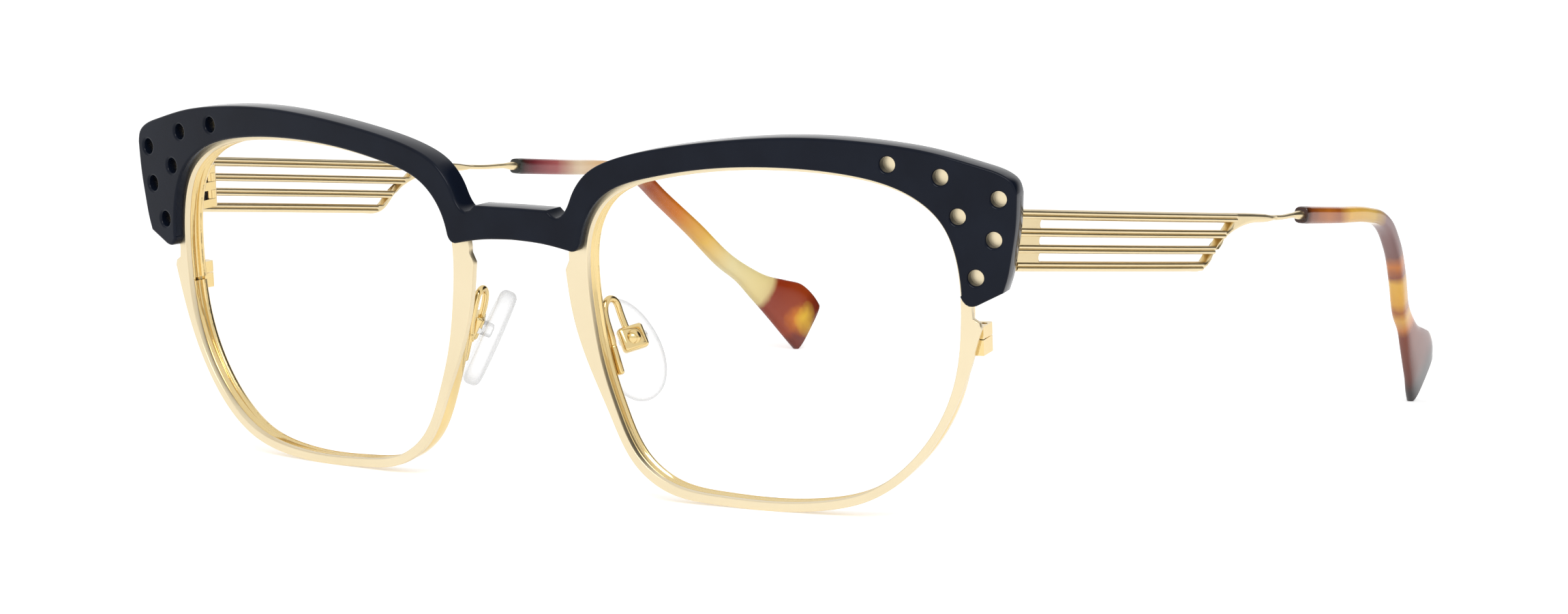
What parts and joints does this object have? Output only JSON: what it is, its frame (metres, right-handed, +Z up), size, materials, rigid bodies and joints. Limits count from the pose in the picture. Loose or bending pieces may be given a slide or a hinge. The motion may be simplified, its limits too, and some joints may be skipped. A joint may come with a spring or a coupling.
{
  "type": "browline eyeglasses",
  "caption": "Half rim eyeglasses with a dark acetate brow bar over a pale metal front, slotted metal temples, tortoise ear tips and clear nose pads.",
  "frame": {"origin": "centre of the bounding box at its foot, on the level the lens rims and ear tips stand on", "axes": "+X to the wearer's left, -Y the way the front faces, +Z up"},
  "size_m": [0.1364, 0.152, 0.0465],
  "materials": {
    "brow_acetate": "polished dark navy acetate",
    "plate_metal": "satin champagne gold plating",
    "rim_metal": "polished gold-tone",
    "temple_metal": "satin gold plating",
    "tip_acetate": "polished tortoise acetate",
    "pad_plastic": "clear soft plastic",
    "demo_lens": "clear plastic",
    "hardware": "polished"
  },
  "bodies": {
    "front": {"brow_bar": "brow_acetate", "front_plate": "plate_metal", "left_eyewire": "rim_metal", "left_lens": "demo_lens", "left_lock_upper": "rim_metal", "left_lock_lower": "rim_metal", "left_lock_screw": "hardware", "left_brow_screw_inner": "hardware", "left_brow_screw_outer": "hardware", "left_end_piece": "rim_metal", "left_hinge_screw": "hardware", "left_pad_arm": "rim_metal", "left_pad_box": "rim_metal", "left_pad_screw": "hardware", "right_eyewire": "rim_metal", "right_lens": "demo_lens", "right_lock_upper": "rim_metal", "right_lock_lower": "rim_metal", "right_lock_screw": "hardware", "right_brow_screw_inner": "hardware", "right_brow_screw_outer": "hardware", "right_end_piece": "rim_metal", "right_hinge_screw": "hardware", "right_pad_arm": "rim_metal", "right_pad_box": "rim_metal", "right_pad_screw": "hardware"},
    "left_temple": {"left_temple_leaf": "rim_metal", "left_temple": "temple_metal", "left_temple_tip": "tip_acetate"},
    "left_pad": {"left_nose_pad": "pad_plastic", "left_pad_insert": "hardware"},
    "right_temple": {"right_temple_leaf": "rim_metal", "right_temple": "temple_metal", "right_temple_tip": "tip_acetate"},
    "right_pad": {"right_nose_pad": "pad_plastic", "right_pad_insert": "hardware"}
  },
  "joints": [
    {"name": "left_temple_fold", "type": "hinge", "parent": "front", "child": "left_temple", "pos_m": [0.0622, -0.05997, 0.03425], "axis": [0, -0.0739, 0.9973], "range_deg": [0, 87]},
    {"name": "right_temple_fold", "type": "hinge", "parent": "front", "child": "right_temple", "pos_m": [-0.0622, -0.05997, 0.03425], "axis": [0, 0.0739, -0.9973], "range_deg": [0, 82]},
    {"name": "left_pad_rock", "type": "hinge", "parent": "front", "child": "left_pad", "pos_m": [0.0119, -0.06628, 0.01925], "axis": [0.5157, 0.8233, 0.2372], "range_deg": [-4, 8]},
    {"name": "right_pad_rock", "type": "hinge", "parent": "front", "child": "right_pad", "pos_m": [-0.0119, -0.06628, 0.01925], "axis": [0.5157, -0.8233, -0.2372], "range_deg": [-4, 8]}
  ]
}
